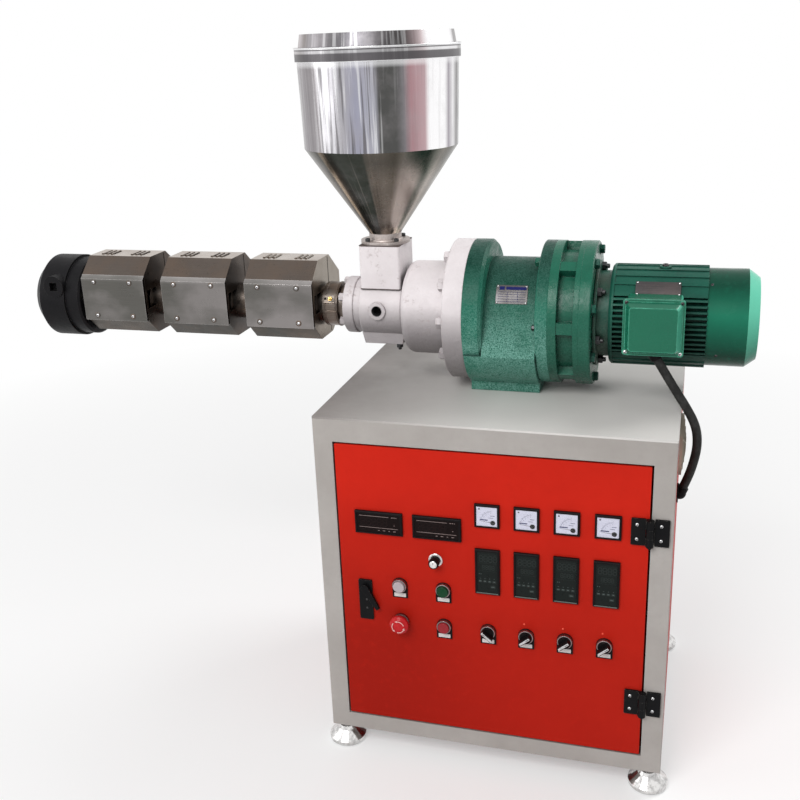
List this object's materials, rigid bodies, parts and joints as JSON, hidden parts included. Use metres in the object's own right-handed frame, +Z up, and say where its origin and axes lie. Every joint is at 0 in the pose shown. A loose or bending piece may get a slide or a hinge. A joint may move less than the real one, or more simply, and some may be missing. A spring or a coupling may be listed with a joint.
{
  "type": "plastic extruder",
  "caption": "Single-screw plastic extruder with a hopper, heated barrel, geared motor and a control cabinet with a hinged instrument door.",
  "frame": {"origin": "centre of the footprint, on the floor", "axes": "+X along the screw from the die to the motor, +Y from the operator's side to the back, +Z up"},
  "size_m": [1.539, 0.5919, 1.438],
  "materials": {
    "grey_enamel": "satin grey stove enamel",
    "red_enamel": "satin orange-red powder coat",
    "black_enamel": "black enamelled zinc fittings",
    "cream_plastic": "moulded cream plastic",
    "chrome_feet": "bright chrome",
    "dark_plastic": "black moulded plastic",
    "white_plastic": "white cap",
    "green_plastic": "green cap",
    "red_plastic": "red cap",
    "black_steel": "black heat-proof paint, worn",
    "bare_steel": "nitrided steel",
    "stainless": "brushed stainless sheet",
    "white_casting": "off-white machine enamel",
    "green_casting": "emerald green machine enamel on castings, worn",
    "green_sheet": "emerald green enamel on sheet",
    "black_rubber": "black sheathed cable"
  },
  "bodies": {
    "frame": {"cabinet_frame": "grey_enamel", "top_plate": "grey_enamel", "cabinet_panels": "red_enamel", "fan_guard": "cream_plastic", "levelling_feet": "chrome_feet", "hinge_frame_leaves": "black_enamel", "die_head": "black_steel", "barrel": "bare_steel", "heater_bands": "stainless", "heater_covers": "stainless", "cover_plates": "stainless", "feed_housing": "white_casting", "throat_block": "white_casting", "hopper_flange": "stainless", "hopper_cone": "stainless", "hopper_shell": "stainless", "bearing_housing": "white_casting", "reducer_casing": "green_casting", "pin_gear_ring": "green_casting", "end_flange": "green_casting", "motor_adaptor": "green_casting", "motor_body": "green_casting", "fan_cowl": "green_sheet", "terminal_box": "green_casting", "terminal_lid": "green_sheet", "motor_cable": "black_rubber", "cable_glands": "dark_plastic"},
    "door": {"front_door": "red_enamel", "hinge_door_leaves": "black_enamel", "current_meters": "dark_plastic", "temperature_controllers": "dark_plastic", "digital_displays": "dark_plastic", "control_bases": "dark_plastic", "latch_plate": "black_enamel"},
    "latch_lever": {"latch_lever": "black_enamel"},
    "hopper_lid": {"hopper_lid": "stainless"},
    "white_button": {"white_button": "white_plastic"},
    "green_button": {"green_button": "green_plastic"},
    "red_button": {"red_button": "red_plastic"},
    "stop_button": {"stop_button": "red_plastic"},
    "selector_1": {"selector_1": "dark_plastic"},
    "selector_2": {"selector_2": "dark_plastic"},
    "selector_3": {"selector_3": "dark_plastic"},
    "selector_4": {"selector_4": "dark_plastic"},
    "speed_knob": {"speed_knob": "dark_plastic"}
  },
  "joints": [
    {"name": "door_hinge", "type": "hinge", "parent": "frame", "child": "door", "pos_m": [0.60075, -0.277, 0.387], "axis": [0, 0, 1], "range_deg": [0, 110]},
    {"name": "latch_pivot", "type": "hinge", "parent": "door", "child": "latch_lever", "pos_m": [0.053, -0.269, 0.39038], "axis": [0, 1, 0], "range_deg": [0, 90]},
    {"name": "lid_lift", "type": "slide", "parent": "frame", "child": "hopper_lid", "axis": [0, 0, 1], "range_m": [0, 0.12]},
    {"name": "white_button_press", "type": "slide", "parent": "door", "child": "white_button", "axis": [0, 1, 0], "range_m": [0, 0.004], "stiffness_N_per_m": 700, "springref_m": -0.002},
    {"name": "green_button_press", "type": "slide", "parent": "door", "child": "green_button", "axis": [0, 1, 0], "range_m": [0, 0.004], "stiffness_N_per_m": 700, "springref_m": -0.002},
    {"name": "red_button_press", "type": "slide", "parent": "door", "child": "red_button", "axis": [0, 1, 0], "range_m": [0, 0.004], "stiffness_N_per_m": 700, "springref_m": -0.002},
    {"name": "stop_button_press", "type": "slide", "parent": "door", "child": "stop_button", "axis": [0, 1, 0], "range_m": [0, 0.005], "stiffness_N_per_m": 1500, "springref_m": -0.002},
    {"name": "selector_1_turn", "type": "hinge", "parent": "door", "child": "selector_1", "pos_m": [0.30194, -0.269, 0.32157], "axis": [0, 1, 0], "range_deg": [0, 100]},
    {"name": "selector_2_turn", "type": "hinge", "parent": "door", "child": "selector_2", "pos_m": [0.3767, -0.269, 0.32157], "axis": [0, 1, 0], "range_deg": [-100, 0]},
    {"name": "selector_3_turn", "type": "hinge", "parent": "door", "child": "selector_3", "pos_m": [0.45146, -0.269, 0.32157], "axis": [0, 1, 0], "range_deg": [-100, 0]},
    {"name": "selector_4_turn", "type": "hinge", "parent": "door", "child": "selector_4", "pos_m": [0.52622, -0.269, 0.32157], "axis": [0, 1, 0], "range_deg": [-100, 0]},
    {"name": "speed_knob_turn", "type": "hinge", "parent": "door", "child": "speed_knob", "pos_m": [0.19916, -0.269, 0.46637], "axis": [0, 1, 0], "range_deg": [0, 300]}
  ]
}
